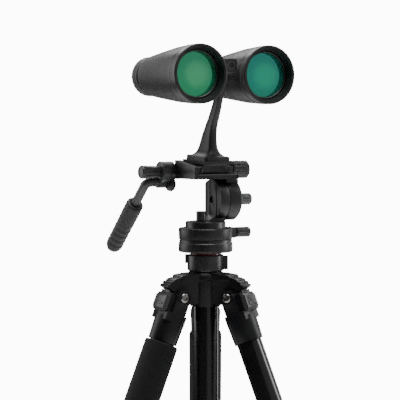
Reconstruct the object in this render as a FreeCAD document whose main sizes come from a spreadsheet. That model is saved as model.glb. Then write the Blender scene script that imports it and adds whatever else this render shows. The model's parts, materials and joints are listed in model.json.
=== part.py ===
"""Compact astronomy binoculars on a curved adapter, a two-way head and a folding tripod.

Millimetres, +Z up. The origin is on the floor, on the axis of the centre column.
The objectives face -Y, and +X is to the right of a person who faces the objectives.
"""
import FreeCAD, Part
import math
import os
import re

from FreeCAD import Placement, Rotation, Vector

DRIVING = {
    # tripod
    "leg_length": 525, "leg_spread": 22, "leg_hinge_radius": 29.5, "leg_hinge_drop": 18,
    "leg_tube_radius": 11.5, "leg_tube_bore": 10.1, "lower_tube_radius": 9.9, "lower_tube_bore": 8.4,
    "yoke_end": 43, "yoke_radius": 13.4, "upper_tube_end": 470, "lock_start": 452, "lock_end": 488,
    "lock_radius": 14.5, "foot_start": 492, "foot_radius": 12, "foam_start": 44, "foam_length": 130,
    "foam_radius": 15.5, "tongue_width": 15.6, "cheek_width": 5, "boss_radius": 7, "bolt_radius": 3,
    "wing_reach": 30, "quadrant_radius": 18,
    "column_radius": 12, "column_bore": 10.2, "column_below": 300, "bush_radius": 14.2,
    "collar_base": 4.9, "collar_top": 19.9, "collar_radius": 16.8, "running": 0.06,
    # head, as heights above the crown's top plate
    "seat_top": 22.3, "seat_radius": 14.3, "pan_radius": 25, "pan_base_top": 33.9, "pan_body_base": 34.2,
    "pan_body_top": 44.6, "turret_top": 50.5, "turret_radius": 18.6, "tilt_height": 70.2,
    "tilt_fixed_radius": 19, "tilt_cap_radius": 19.3, "tilt_left": 6, "tilt_split": 16, "tilt_right": 29,
    "platform_base": 89.6, "platform_top": 94.2, "wall_top": 101.3, "plate_top": 103.3,
    "platform_left": 21.5, "platform_right": 24.4, "platform_front": 18, "platform_back": 20,
    "plate_half_base": 15, "plate_half_top": 11.5, "rosette_reach": 26.6, "rosette_y": 25, "rosette_up": 95.8,
    "rosette_radius": 9.6, "handle_slope": 42, "rod_radius": 4.3, "grip_radius": 8.3, "grip_length": 70,
    # binoculars
    "rim_radius": 26.5, "rim_y": 56, "axis_height": 184, "hinge_rise": 8, "half_spacing": 35,
    "lens_radius": 21.25, "lens_recess": 9.5, "armour_length": 88.5, "eyecup_radius": 18.3,
    "eyecup_start": 91, "eyecup_end": 104, "eyepiece_radius": 15.2, "core_radius": 5, "lug_radius": 8.5,
    "wheel_radius": 11.5,
}

doc = FreeCAD.newDocument("binocular_rig")
sheet = doc.addObject("Spreadsheet::Sheet", "Sizes")
for row, (alias, number) in enumerate(DRIVING.items(), start=1):
    sheet.set("A%d" % row, alias)
    sheet.set("B%d" % row, str(number))
    sheet.setAlias("B%d" % row, alias)
doc.recompute()

sub_parts = []


def size(alias):
    """The number that the sheet holds under this alias."""
    return float(getattr(sheet, alias))


def bind(item, **formulas):
    """Bind properties to formulas; a bare word in a formula is an alias of the sheet."""
    for prop, formula in formulas.items():
        text = re.sub(r"[a-z]\w+", lambda word: "Sizes." + word.group(), str(formula))
        item.setExpression(prop.replace("__", "."), text)
    return item


def bind_place(item, x=0, y=0, z=0):
    """Bind the position of an object, leaving its rotation as it is."""
    return bind(item, Placement__Base__x=x, Placement__Base__y=y, Placement__Base__z=z)


def turn_to(axis):
    """The rotation that takes +Z to the named axis."""
    return {
        "z": Rotation(),
        "x": Rotation(Vector(0, 1, 0), 90),
        "y": Rotation(Vector(1, 0, 0), -90),
    }[axis]


def rod(radius, length, x=0, y=0, z=0, axis="z"):
    """A solid cylinder that starts at (x, y, z) and runs along the axis."""
    item = doc.addObject("Part::Cylinder", "rod")
    item.Placement = Placement(Vector(), turn_to(axis))
    bind(item, Radius=radius, Height=length)
    return bind_place(item, x, y, z)


def taper(radius_1, radius_2, length, x=0, y=0, z=0, axis="z"):
    """A cone frustum that starts at (x, y, z) and runs along the axis."""
    item = doc.addObject("Part::Cone", "taper")
    item.Placement = Placement(Vector(), turn_to(axis))
    bind(item, Radius1=radius_1, Radius2=radius_2, Height=length)
    return bind_place(item, x, y, z)


def block(x_size, y_size, z_size, x=0, y=0, z=0):
    """A box whose lowest corner is at (x, y, z)."""
    item = doc.addObject("Part::Box", "block")
    bind(item, Length=x_size, Width=y_size, Height=z_size)
    return bind_place(item, x, y, z)


def join(*pieces):
    """One solid out of several that meet."""
    if len(pieces) == 1:
        return pieces[0]
    item = doc.addObject("Part::MultiFuse", "join")
    item.Shapes = list(pieces)
    item.Refine = True
    return item


def less(base, *tools):
    """The base with every tool cut away."""
    for tool in tools:
        item = doc.addObject("Part::Cut", "less")
        item.Base = base
        item.Tool = tool
        base = item
    return base


def turned(stations, axis="z", x=0, y=0, z=0):
    """A solid of revolution from (distance along the axis, radius) stations, all formulas."""
    pieces = []
    for (start, radius_1), (end, radius_2) in zip(stations, stations[1:]):
        span = "(%s) - (%s)" % (end, start)
        if str(radius_1) == str(radius_2):
            pieces.append(rod(radius_1, span, z=start))
        else:
            pieces.append(taper(radius_1, radius_2, span, z=start))
    item = join(*pieces)
    if axis == "z" and (x, y, z) == (0, 0, 0):
        return item
    moved = doc.addObject("Part::Compound", "moved") if len(pieces) == 1 else item
    if moved is not item:
        moved.Links = [item]
    moved.Placement = Placement(Vector(), turn_to(axis))
    return bind_place(moved, x, y, z)


def prism_shape(points, height, place=None):
    """A Part::Feature: a closed outline in XY, or an edge list, raised along +Z and then placed."""
    wire = Part.makePolygon([Vector(*point) for point in points + points[:1]])
    item = doc.addObject("Part::Feature", "outline")
    item.Shape = Part.Face(wire).extrude(Vector(0, 0, height))
    item.Placement = place or Placement()
    return item


def node(label, item, place=None):
    """Make an item a sub-part: give it its label, and its placement where it has one of its own."""
    holder = doc.addObject("Part::Compound", "node")
    holder.Links = [item]
    holder.Label = label
    holder.Placement = place or Placement()
    sub_parts.append(holder)
    return holder


# ---------------------------------------------------------------- shared heights
SPREAD = math.radians(size("leg_spread"))
HINGE_Z = size("leg_length") * math.cos(SPREAD)
CROWN_Z = HINGE_Z + size("leg_hinge_drop")
AT_CROWN = Placement(Vector(0, 0, CROWN_Z), Rotation())
LEG_AZIMUTHS = {1: 61.4, 2: 181.4, 3: 301.4}
FOAM_LEGS = (1, 2)


def leg_place(azimuth):
    """From a leg's own frame (hinge at the origin, leg along -Z, +X outwards) to the row frame."""
    swing = Placement(Vector(size("leg_hinge_radius"), 0, HINGE_Z), Rotation(Vector(0, 1, 0), -size("leg_spread")))
    return Placement(Vector(), Rotation(Vector(0, 0, 1), azimuth)).multiply(swing)


# ---------------------------------------------------------------- crown and column
def upright(points, half_width):
    """A closed outline in XZ, made into a slab that runs from -half_width to +half_width along Y."""
    return prism_shape([(x, z, 0) for x, z in points], 2 * half_width,
                       Placement(Vector(0, half_width, 0), Rotation(Vector(1, 0, 0), 90)))


def crown_arm(azimuth):
    """One arm of the crown: a tongue that carries the leg hinge, under a sloping wing."""
    hinge = size("leg_hinge_radius")
    drop = size("leg_hinge_drop")
    reach = size("wing_reach")
    tongue = block("leg_hinge_radius - 8", "tongue_width", 23, x=8, y="-tongue_width / 2", z=-25)
    nose = rod("boss_radius", "tongue_width", x="leg_hinge_radius", y="-tongue_width / 2",
               z="-leg_hinge_drop", axis="y")
    rim = [math.radians(turn) for turn in range(36, 91, 9)]
    quadrant = upright([(hinge - 12, -drop), (hinge, -drop)]
                       + [(hinge + size("quadrant_radius") * math.cos(turn),
                           -drop + size("quadrant_radius") * math.sin(turn)) for turn in rim]
                       + [(hinge - 12, 0)], size("tongue_width") / 2)
    notches = []
    for turn in (47, 60):
        notch = rod(1.1, 20, y=-10, axis="y")
        far = size("quadrant_radius") + 0.2
        bind_place(notch, hinge + far * math.cos(math.radians(turn)), -10,
                   -drop + far * math.sin(math.radians(turn)))
        notches.append(notch)
    wing = upright([(0, -4), (reach, -3), (reach, 1.2), (reach - 2, 2.2), (14, 3.2), (0, 3.2)], 11.5)
    corners = [prism_shape([(19, side * 11.6, 0), (reach + 0.1, side * 8.8, 0), (reach + 3, side * 8.8, 0),
                            (reach + 3, side * 11.6, 0)], 14, Placement(Vector(0, 0, -8), Rotation()))
               for side in (-1, 1)]
    bolt_hole = rod("bolt_radius + running", 40, x="leg_hinge_radius", y=-20, z="-leg_hinge_drop", axis="y")
    arm = less(join(tongue, nose, less(quadrant, *notches), less(wing, *corners)), bolt_hole)
    arm.Placement = Placement(Vector(), Rotation(Vector(0, 0, 1), azimuth))
    return arm


def make_crown():
    neck = rod("bush_radius", "27.5 + 14.2", z=-27.5)
    shoulder = turned([(-2, "bush_radius + 3.4"), (1.5, "bush_radius + 3.0"), (4.5, "bush_radius + 0.8")])
    arms = [crown_arm(azimuth) for azimuth in LEG_AZIMUTHS.values()]
    bore = rod("column_radius + running", 60, z=-35)
    node("crown_casting", less(join(neck, shoulder, *arms), bore), AT_CROWN)

    bolts = []
    for azimuth in LEG_AZIMUTHS.values():
        shank = rod("bolt_radius", 26.4, y=-13.2, axis="y")
        head = taper("boss_radius - 2.6", "boss_radius - 3.2", 1.6, y=13.2, axis="y")
        tail = taper("boss_radius - 3.2", "boss_radius - 2.6", 1.6, y=-14.8, axis="y")
        sockets = []
        for start in (13.8, -15.3):
            socket = doc.addObject("Part::Prism", "socket")
            socket.Polygon = 6
            socket.Placement = Placement(Vector(0, start, 0), turn_to("y"))
            bind(socket, Circumradius=2.1, Height=1.5)
            sockets.append(socket)
        bolt = less(join(shank, head, tail), *sockets)
        spot = Placement(Vector(size("leg_hinge_radius"), 0, -size("leg_hinge_drop")), Rotation())
        bolt.Placement = Placement(Vector(), Rotation(Vector(0, 0, 1), azimuth)).multiply(spot)
        bolts.append(bolt)
    group = doc.addObject("Part::Compound", "bolts")
    group.Links = bolts
    node("leg_hinge_bolts", group, AT_CROWN)


def make_column():
    tube = less(rod("column_radius", "column_below + collar_top + 0.2", z="-column_below"),
                rod("column_bore", "column_below + 6", z="-column_below - 1"))
    node("center_column", tube, AT_CROWN)
    node("column_top_plate", turned([("collar_top + 0.2", "seat_radius"), ("seat_top - 0.6", "seat_radius"),
                                     ("seat_top", "seat_radius - 0.6")]), AT_CROWN)
    plug = turned([("-column_below - 5", 9), ("-column_below", "column_radius")])
    stub = rod("column_bore - 0.06", 12, z="-column_below")
    stem = rod(2.2, 9, z="-column_below - 13.5")
    ring = doc.addObject("Part::Torus", "ring")
    ring.Placement = Placement(Vector(), turn_to("x"))
    bind(ring, Radius1=7, Radius2=2)
    bind_place(ring, z="-column_below - 20")
    node("ballast_hook", join(plug, stub, stem, ring), AT_CROWN)

    flutes = []
    for turn in range(24):
        flute = rod(1.0, 9, z="collar_base + 2")
        angle = math.radians(turn * 15)
        reach = size("collar_radius") + 0.45
        flute.Placement = Placement(Vector(reach * math.cos(angle), reach * math.sin(angle), 0), Rotation())
        flute.setExpression("Placement.Base.z", "Sizes.collar_base + 2")
        flutes.append(flute)
    ring = turned([("collar_base", "collar_radius - 0.8"), ("collar_base + 1", "collar_radius"),
                   ("collar_top - 1", "collar_radius"), ("collar_top", "collar_radius - 0.8")])
    lug_right = block(6, 8, 12.4, x="collar_radius - 2", y=-4, z="collar_base + 1.2")
    lug_left = block(4, 7, 8, x="-collar_radius - 2.2", y=-3.5, z="collar_base + 7")
    bore = rod("bush_radius + running", 9.5, z="collar_base - 0.1")
    top_bore = rod("column_radius + running", 30, z="collar_base - 1")
    collar = less(join(less(ring, *flutes), lug_right, lug_left), bore, top_bore)
    node("column_collar", collar, Placement(Vector(0, 0, CROWN_Z), Rotation(Vector(0, 0, 1), -28.6)))


# ---------------------------------------------------------------- legs
def make_leg(number, azimuth):
    place = leg_place(azimuth)
    prefix = "leg_%d_" % number

    side = "tongue_width / 2 + 0.2"
    cheeks = []
    for y in (side, "-(%s) - cheek_width" % side):
        cheeks.append(rod("boss_radius", "cheek_width", y=y, axis="y"))
        cheeks.append(block("2 * boss_radius", "cheek_width", 22, x="-boss_radius", y=y, z=-22))
    bridge = block(21, "tongue_width + 2 * cheek_width + 0.4", 8, x=-9, y="-(%s) - cheek_width" % side, z=-24)
    back_wall = block(5, "tongue_width + 2", 20, x="boss_radius", y="-(tongue_width + 2) / 2", z=-20)
    barrel = turned([("-yoke_end", "yoke_radius"), (-20, "yoke_radius + 0.9")])
    collars = [less(rod("boss_radius - 0.4", 0.9, y=y, axis="y"), rod("boss_radius - 2", 4, y="(%s) - 1" % y, axis="y"))
               for y in (side + " + cheek_width", "-(%s) - cheek_width - 0.9" % side)]
    tube_bore = rod("leg_tube_radius + 0.05", 30, z="-yoke_end - 10")
    bolt_hole = rod("bolt_radius + running", 60, y=-30, axis="y")
    yoke = less(join(*cheeks, *collars, bridge, back_wall, barrel), tube_bore, bolt_hole)
    node(prefix + "yoke", yoke, place)

    inner = size("boss_radius") + 5.1
    tab_body = upright([(inner, -17), (inner + 3, -17), (inner + 4.8, -14), (inner + 4.8, -3.5),
                        (inner + 2.4, 0), (inner, 0)], 10)
    tab_cap = block(2.4, 14, 3, x=inner, y=-7, z=-0.5)
    tab_grip = block(1.6, 13, 2.2, x=inner + 4, y=-6.5, z=-12)
    node(prefix + "angle_tab", join(tab_body, tab_cap, tab_grip), place)

    upper = less(rod("leg_tube_radius", "upper_tube_end - 35.2", z="-upper_tube_end"),
                 rod("leg_tube_bore", "upper_tube_end", z="-upper_tube_end - 1"))
    node(prefix + "upper_tube", upper, place)

    if number in FOAM_LEGS:
        foam = less(rod("foam_radius", "foam_length", z="-foam_start - foam_length"),
                    rod("leg_tube_radius + 0.05", "foam_length + 2", z="-foam_start - foam_length - 1"))
        node(prefix + "foam_sleeve", foam, place)

    lock = turned([("-lock_end", "lock_radius - 2.4"), ("-lock_end + 3", "lock_radius - 0.4"),
                   ("-lock_end + 5", "lock_radius"), ("-lock_start - 4", "lock_radius"),
                   ("-lock_start", "lock_radius - 1.2")])
    lock = less(lock, rod("leg_tube_radius + 0.08", 40, z="-upper_tube_end - 0.3"),
                rod("lower_tube_radius + 0.1", 60, z="-lock_end - 10"))
    node(prefix + "twist_lock", lock, place)

    lower = less(rod("lower_tube_radius", "foot_start - 58 + 8", z="-foot_start - 8"),
                 rod("lower_tube_bore", "foot_start", z="-foot_start - 9"))
    node(prefix + "lower_tube", lower, place)

    foot = turned([("-leg_length - 6", "foot_radius - 1"), ("-leg_length + 6", "foot_radius"),
                   ("-foot_start - 3", "foot_radius - 0.4"), ("-foot_start", "lower_tube_radius + 0.8")])
    socket = rod("lower_tube_radius + 0.05", 30, z="-foot_start - 8.1")
    floor = block(80, 80, 40, x=-40, y=-40, z=-40)
    floor.Placement = Placement(Vector(), Rotation(Vector(0, 1, 0), size("leg_spread")))
    corner = floor.Placement.Rotation.multVec(Vector(-40, -40, -40))
    bind_place(floor, corner.x, corner.y, "-leg_length + (%f)" % corner.z)
    node(prefix + "foot", less(foot, socket, floor), place)


# ---------------------------------------------------------------- pan and tilt head
def fluted_knob(radius, length, flutes, x, y, z, flute_radius=1.0, depth=0.5):
    """A knob with straight flutes, along +X from (x, y, z)."""
    body = turned([(0, "%s - 0.7" % radius), (0.8, radius), ("%s - 0.8" % length, radius),
                   (length, "%s - 0.7" % radius)])
    tools = []
    for turn in range(flutes):
        angle = 2 * math.pi * turn / flutes
        reach = radius + flute_radius - depth
        tool = rod(flute_radius, length + 2)
        tool.setExpression("Placement.Base.x", None)
        tool.setExpression("Placement.Base.y", None)
        tool.setExpression("Placement.Base.z", None)
        tool.Placement = Placement(Vector(reach * math.cos(angle), reach * math.sin(angle), 2.2), Rotation())
        tools.append(tool)
    knob = less(body, *tools)
    knob.Placement = Placement(Vector(x, y, z), turn_to("x"))
    return knob


def make_pan():
    node("pan_base", turned([("seat_top", "pan_radius - 1"), ("seat_top + 1", "pan_radius"),
                             ("pan_base_top - 3.4", "pan_radius"),
                             ("pan_base_top - 2.8", "pan_radius - 0.6"), ("pan_base_top", "pan_radius - 0.6")]),
         AT_CROWN)

    disc = turned([("pan_body_base", "pan_radius - 0.4"), ("pan_body_top - 0.8", "pan_radius"),
                   ("pan_body_top", "pan_radius - 0.8")])
    turret = turned([("pan_body_top - 1", "turret_radius"), ("turret_top - 0.6", "turret_radius"),
                     ("turret_top", "turret_radius - 0.6")])
    ear = block(10, 12, "pan_body_top - pan_body_base - 0.6", x="pan_radius - 6", y=-6, z="pan_body_base + 0.3")
    drum = rod("tilt_fixed_radius", "tilt_split - 0.3 - tilt_left", x="tilt_left", z="tilt_height", axis="x")
    back_cut = block(40, 20, 60, x=-5, y=12, z=40)
    left = size("tilt_left")
    foot = size("turret_top") - 1
    saddle = upright([(left - 6, foot), (size("tilt_split") - 0.3, foot), (size("tilt_split") - 0.3, foot + 7),
                      (left, foot + 7), (left - 6, foot + 2.5)], 9)
    grooves = [block(1.2, 1, 34, x="tilt_left - 0.8", y=y, z="tilt_height - 17") for y in (2.3, -10.4)]
    knob_bore = rod(2.06, 20, x="pan_radius - 12", z="pan_body_base + 5.2", axis="x")
    axle_bore = rod(3.06, 40, z="tilt_height", axis="x")
    screw_bore = rod(2.06, 12, x=-8, y=-6, z="turret_top - 8")
    drum = less(join(drum, saddle), back_cut, *grooves)
    body = less(join(disc, turret, ear, drum), knob_bore, axle_bore, screw_bore)
    node("pan_body", body, AT_CROWN)

    knob_z = size("pan_body_base") + 5.2
    neck = rod(2, 12, x=20, z=knob_z, axis="x")
    node("pan_lock_knob", join(neck, taper(3, 3.6, 1.2, x=30, z=knob_z, axis="x"),
                               fluted_knob(4.8, 15, 12, 31.2, 0, knob_z, 0.7, 0.35)), AT_CROWN)
    node("tension_knob", join(rod(2, 8, x=-8, y=-6, z="turret_top - 7"),
                              turned([("turret_top + 0.3", 4.6), ("turret_top + 9.2", 4.6),
                                      ("turret_top + 9.8", 4.1)], x=-8, y=-6)), AT_CROWN)
    tilt_z = size("tilt_height")
    node("tilt_knob", join(rod(3, 30, x=8, z=tilt_z, axis="x"),
                           fluted_knob(5.4, 13, 16, 34, 0, tilt_z, 0.6, 0.3),
                           rod(4, 6, x=28.6, z=tilt_z, axis="x")), AT_CROWN)


def dovetail(half_base, half_top, low, high, length, front):
    """The straight dovetail bar of the quick-release plate, along Y."""
    points = [(-half_base, low, 0), (half_base, low, 0), (half_top, high, 0), (-half_top, high, 0)]
    return prism_shape(points, length, Placement(Vector(0, front + length, 0), Rotation(Vector(1, 0, 0), 90)))


def make_platform():
    low = size("platform_top")
    high = size("wall_top")
    front = size("platform_front")
    depth = front + size("platform_back")
    slope = (size("plate_half_base") - size("plate_half_top")) / (size("plate_top") - low - 0.3)

    plate = block("platform_left + platform_right", "platform_front + platform_back",
                  "platform_top - platform_base", x="-platform_left", y="-platform_front", z="platform_base")
    foot_in = size("plate_half_base") + 0.4
    top_in = foot_in - slope * (high - low)
    left = size("platform_left")
    wall = prism_shape([(-left, low - 1, 0), (-foot_in, low - 1, 0), (-foot_in, low, 0), (-top_in, high, 0),
                        (-left, high, 0)], depth,
                       Placement(Vector(0, size("platform_back"), 0), Rotation(Vector(1, 0, 0), 90)))
    lug = block(3, 16, "wall_top - platform_top + 1", x="platform_right - 3", y=-8, z="platform_top - 1")
    lug_bore = rod(3.1, 10, x="platform_right - 6", z="platform_top + 3.6", axis="x")
    cap = turned([(0, "tilt_cap_radius"), ("tilt_right - tilt_split - 1.6", "tilt_cap_radius"),
                  ("tilt_right - tilt_split", "tilt_cap_radius - 1.6")], axis="x", x="tilt_split", z="tilt_height")
    post = block("tilt_right - tilt_split - 0.6", 22, "platform_base - tilt_height + 1",
                 x="tilt_split", y=-11, z="tilt_height")
    knob_clear = block(10, 50, 10, x="platform_right + 0.05", y=-25, z="platform_base - 0.4")
    cap_bore = rod(4.1, 20, x="tilt_split - 1", z="tilt_height", axis="x")
    bracket = block(16, 12, "rosette_up - platform_base + 3.5", x="-platform_left - 1", y="platform_back - 4.5",
                    z="platform_base + 0.4")
    disc = rod("rosette_radius", 4.4, x="-rosette_reach", y="rosette_y", z="rosette_up", axis="x")
    collar = rod(7, 9, x="-rosette_reach + 4", y="rosette_y", z="rosette_up", axis="x")
    lobe = turned([(0, 4.8), (1.4, 6.5), (3.6, 7.2), (5.8, 6.5), (7.1, 4.8)], axis="x",
                  x="-rosette_reach", y="rosette_y + 1", z="rosette_up - 11.4")
    rosette_bore = rod(2.56, 40, x="-rosette_reach - 2", y="rosette_y", z="rosette_up", axis="x")
    plate_clear = dovetail(foot_in, top_in, low, high + 6, depth + 20, -front - 5)
    ramp = prism_shape([(-front, high - 1, 0), (size("platform_back"), high - 1, 0),
                        (size("platform_back"), high + 5.4, 0), (-front + 2, high, 0)], 6.3,
                       Placement(Vector(-left, 0, 0), Rotation(Vector(1, 1, 1), 120)))
    carrier = less(join(cap, post), knob_clear)
    solid = less(join(plate, wall, ramp, lug, carrier), lug_bore, cap_bore)
    arm = less(join(bracket, disc, collar, lobe), rosette_bore, plate_clear)
    node("clamp_platform", join(solid, arm), AT_CROWN)

    jaw = prism_shape([(foot_in, low + 0.1, 0), (19, low + 0.1, 0), (19, high, 0), (top_in, high, 0)], depth - 1,
                      Placement(Vector(0, size("platform_back") - 0.5, 0), Rotation(Vector(1, 0, 0), 90)))
    node("clamp_jaw", less(jaw, rod(3.06, 30, z="platform_top + 3.6", axis="x")), AT_CROWN)
    knob_z = low + 3.6
    node("clamp_knob", join(rod(3, 9, x=16.6, z=knob_z, axis="x"),
                            fluted_knob(8.3, 18, 16, 25, 0, knob_z, 1.2, 0.7)), AT_CROWN)


def make_handle():
    y = size("rosette_y")
    z = size("rosette_up")
    rod_r = size("rod_radius")
    inner = -size("rosette_reach") - 0.3
    slope = math.radians(size("handle_slope"))
    down = Vector(0, math.cos(slope), -math.sin(slope))
    stub_z = z - 9.6
    stub_y = y + 5.5
    turn_radius = 5.0
    face = inner - 7.6

    lobe = rod("rosette_radius", 7.6, x=face, y=y, z=z, axis="x")
    tail = rod(5.6, 7.6, x=face, y=stub_y, z=stub_z, axis="x")
    flank = block(7.6, 11, 8.6, x=face, y=y - 1.6, z=z - 9.6)
    bore = rod(2.56, 30, x=face - 5, y=y, z=z, axis="x")
    start = Vector(face + 2, stub_y, stub_z)
    bend = Vector(face - 6.2, stub_y, stub_z)
    centre = bend + down * turn_radius
    leave = centre + Vector(-turn_radius, 0, 0)
    middle = centre + (Vector(-1, 0, 0) - down) * (turn_radius / math.sqrt(2))
    grip_start = leave + down * 25.5
    finish = grip_start + down * (size("grip_length") - 8)
    path = Part.Wire([Part.LineSegment(start, bend).toShape(), Part.Arc(bend, middle, leave).toShape(),
                      Part.LineSegment(leave, finish).toShape()])
    ring = Part.Wire([Part.Circle(start, Vector(1, 0, 0), rod_r).toShape()])
    arm = doc.addObject("Part::Feature", "arm")
    arm.Shape = path.makePipeShell([ring], True, False)
    node("handle_arm", less(join(lobe, tail, flank, arm), bore), AT_CROWN)

    along = Placement(grip_start, Rotation(Vector(0, 0, 1), down))
    grip = turned([(0, "grip_radius - 0.9"), (1.5, "grip_radius"), ("grip_length - 9", "grip_radius"),
                   ("grip_length - 4", "grip_radius - 1"), ("grip_length - 1.5", "grip_radius - 2.8"),
                   ("grip_length", "grip_radius - 5")])
    grip = less(grip, rod("rod_radius + 0.05", "grip_length - 7.8", z=0))
    node("handle_grip", grip, AT_CROWN.multiply(along))

    knob = join(turned([(0, 5.5), (14, 6.2), (16.3, 6.2), (17.3, 5.4)]), rod(2.5, 24, z=-20), rod(4.6, 3, z=-2.6))
    spot = Placement(Vector(face - 2.9, y, z), Rotation(Vector(0, 1, 0), -90))
    node("handle_knob", knob, AT_CROWN.multiply(spot))


# ---------------------------------------------------------------- adapter
def wedge(half_width, front, back, front_base, back_base, thickness, rise):
    """A plate along Y whose top rises to the back by this share of its length."""
    lift = (back - front) * rise
    return prism_shape([(front, front_base, 0), (back, back_base, 0), (back, front_base + thickness + lift, 0),
                        (front, front_base + thickness, 0)], 2 * half_width,
                       Placement(Vector(-half_width, 0, 0), Rotation(Vector(1, 1, 1), 120)))


def make_adapter():
    low = size("platform_top") + 0.3
    top = size("plate_top")
    front = size("platform_front")
    length = front + size("platform_back")
    plate = dovetail(size("plate_half_base"), size("plate_half_top"), low, top, length, -front)
    screw_hole = rod(3.3, 30, y=-4, z=low - 5)
    head_hole = rod(5.6, 4.2, y=-4, z=low - 0.1)
    node("quick_release_plate", less(plate, screw_hole, head_hole), AT_CROWN)
    node("camera_screw", join(rod(5.4, 2.6, y=-4, z=low + 0.6), rod(3.1, 11, y=-4, z=low + 2)), AT_CROWN)

    # The pad is a wedge, so the foot that stands on it rises a little towards the back.
    pad_top = top + 2.2
    rise = 0.055
    pad = wedge(15, -26.2, 16.8, top + 0.05, top + 0.05, 2.1, rise)
    node("adapter_pad", less(pad, rod(3.3, 10, y=-4, z=top - 2)), AT_CROWN)

    # The stem is a lofted bar: (height, front y, back y, thickness) at each station, foot to head.
    stations = [(pad_top + 4.2, -24, 13.5, 26), (pad_top + 6.8, -19.4, 11.6, 18), (pad_top + 10, -17.2, 9, 12),
                (pad_top + 16, -15.8, 5.6, 9.2), (pad_top + 24, -15.8, 1.6, 8), (pad_top + 33, -18, -4.2, 7),
                (pad_top + 43, -23.2, -11, 6.4), (pad_top + 57, -29.4, -18.4, 5.2), (pad_top + 73.6, -36.6, -24.6, 4),
                (size("axis_height") + 3, -42, -29, 4)]
    sections = []
    for height, y_front, y_back, thick in stations:
        half = thick / 2
        corner = min(half, (y_back - y_front) / 2) * 0.35
        outline = [(-half + corner, y_front), (half - corner, y_front), (half, y_front + corner),
                   (half, y_back - corner), (half - corner, y_back), (-half + corner, y_back),
                   (-half, y_back - corner), (-half, y_front + corner)]
        points = [Vector(x, y, height) for x, y in outline]
        sections.append(Part.makePolygon(points + points[:1]))
    stem = doc.addObject("Part::Feature", "stem")
    stem.Shape = Part.makeLoft(sections, True, False)
    foot = wedge(13.2, -24, 14.6, pad_top + 0.12, pad_top + 0.12 + 38.6 * rise, 4.3, rise)
    axis = size("axis_height") + size("hinge_rise")
    head = block(12, 20, 13, x=-6, y=-48, z=axis - 6.5)
    bore = rod(3.3, 60, y=-60, z=axis, axis="y")
    recess = rod(4.9, 4, y=-49, z=axis, axis="y")
    foot_bore = rod(3.16, 8.2, y=-4, z=pad_top - 1)
    node("adapter_bracket", less(join(foot, stem, head), bore, recess, foot_bore), AT_CROWN)

    screw = join(rod(4.7, 2.6, y=-47.8, z=axis, axis="y"), rod(3.12, 30, y=-47, z=axis, axis="y"))
    socket = doc.addObject("Part::Prism", "socket")
    socket.Polygon = 6
    socket.Placement = Placement(Vector(0, -48.5, axis), turn_to("y"))
    bind(socket, Circumradius=2.8, Height=2.4)
    node("adapter_screw", less(screw, socket), AT_CROWN)


# ---------------------------------------------------------------- binoculars
LUGS = {"left": ((-25, -15.3), (7.6, 14.6)), "right": ((-14.9, -5.2), (15.0, 22.2))}
SHELL = [(0.6, 24.3), (12, 24.3), (34, 23.0), (62, 20.0), (88.3, 17.0)]
ARMOUR = [(0, 25.9), (0.9, 26.5), (11, 26.5), (11.6, 26.1), (15, 26.1), (15.6, 26.4), (34, 25.2), (62, 22.2),
          (86, 19.4), (88.5, 18.4)]


def shell_radius(distance):
    """The shell's outer radius at a distance behind the front rim."""
    for (start, radius_1), (end, radius_2) in zip(SHELL, SHELL[1:]):
        if start <= distance <= end:
            return radius_1 + (radius_2 - radius_1) * (distance - start) / (end - start)
    return SHELL[-1][1]


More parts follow.
